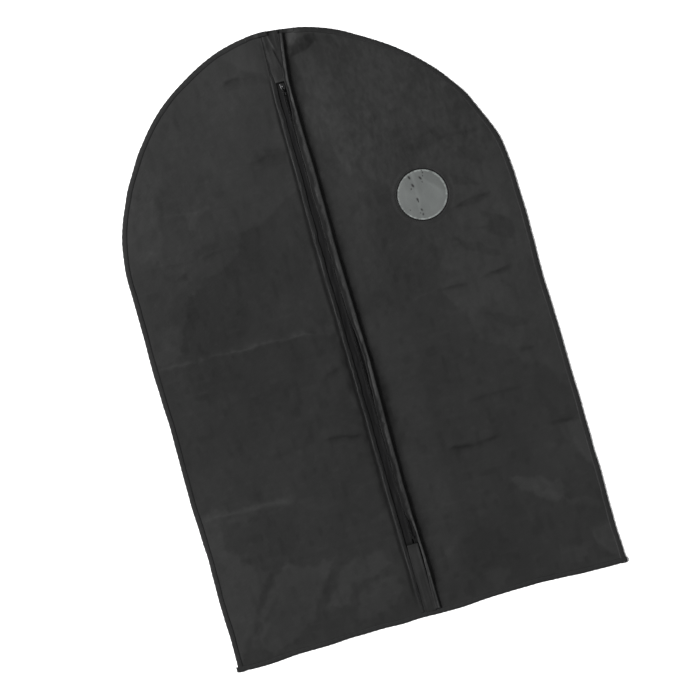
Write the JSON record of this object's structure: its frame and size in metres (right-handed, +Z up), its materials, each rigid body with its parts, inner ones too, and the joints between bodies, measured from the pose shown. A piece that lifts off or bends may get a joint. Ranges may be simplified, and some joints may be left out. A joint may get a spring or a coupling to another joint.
{
  "type": "garment bag",
  "caption": "Full-length arched garment cover laid flat, with a centre zip, a round film window, edge binding and a hanger-hook opening at the top.",
  "frame": {"origin": "middle of the underside of the back panel, at the middle of the bag's box", "axes": "+X to the right seen from the front, +Y along the bag towards the hanger opening, +Z up from the back panel through the front"},
  "size_m": [0.6, 0.9104, 0.0147],
  "materials": {
    "cloth": "black woven cover cloth with a slight sheen",
    "trim": "black binding tape and folded welts",
    "zip_tape": "black woven zip tape",
    "coil": "black nylon coil",
    "metal": "plated zinc, slightly dull",
    "film": "milky window film"
  },
  "bodies": {
    "bag": {"back_panel": "cloth", "front_left_panel": "cloth", "front_right_panel": "cloth", "binding_left": "trim", "binding_right": "trim", "binding_bottom": "trim", "binding_arch_left": "trim", "binding_arch_right": "trim", "hook_hem_front": "trim", "hook_hem_back": "trim", "tape_ends": "zip_tape", "coil_ends": "coil", "welt_ends": "trim", "top_stops": "metal", "bottom_stop": "metal", "top_tab": "cloth", "bottom_tab": "cloth"},
    "left_flap": {"front_left_flap": "cloth", "tape_left": "zip_tape", "coil_left": "coil", "welt_left": "trim"},
    "right_flap": {"front_right_flap": "cloth", "tape_right": "zip_tape", "coil_right": "coil", "welt_right": "trim", "window_film": "film"},
    "slider": {"slider_body": "metal", "slider_bridge": "metal"},
    "pull": {"pull_tab": "metal"}
  },
  "joints": [
    {"name": "zip_slide", "type": "slide", "parent": "bag", "child": "slider", "axis": [0, -1, 0], "range_m": [0, 0.69]},
    {"name": "pull_flip", "type": "hinge", "parent": "slider", "child": "pull", "pos_m": [0.0035, 0.367, 0.0126], "axis": [-1, 0, 0], "range_deg": [0, 165]},
    {"name": "left_fold", "type": "hinge", "parent": "bag", "child": "left_flap", "pos_m": [-0.215, -0.0002, 0.01], "axis": [0, -1, 0], "range_deg": [0, 61]},
    {"name": "right_fold", "type": "hinge", "parent": "bag", "child": "right_flap", "pos_m": [0.215, -0.0002, 0.01], "axis": [0, 1, 0], "range_deg": [0, 61]}
  ],
  "couplings": [
    {"joint": "left_fold", "follows": "zip_slide", "rad_per_m": 1.5177},
    {"joint": "right_fold", "follows": "zip_slide", "rad_per_m": 1.5177}
  ]
}
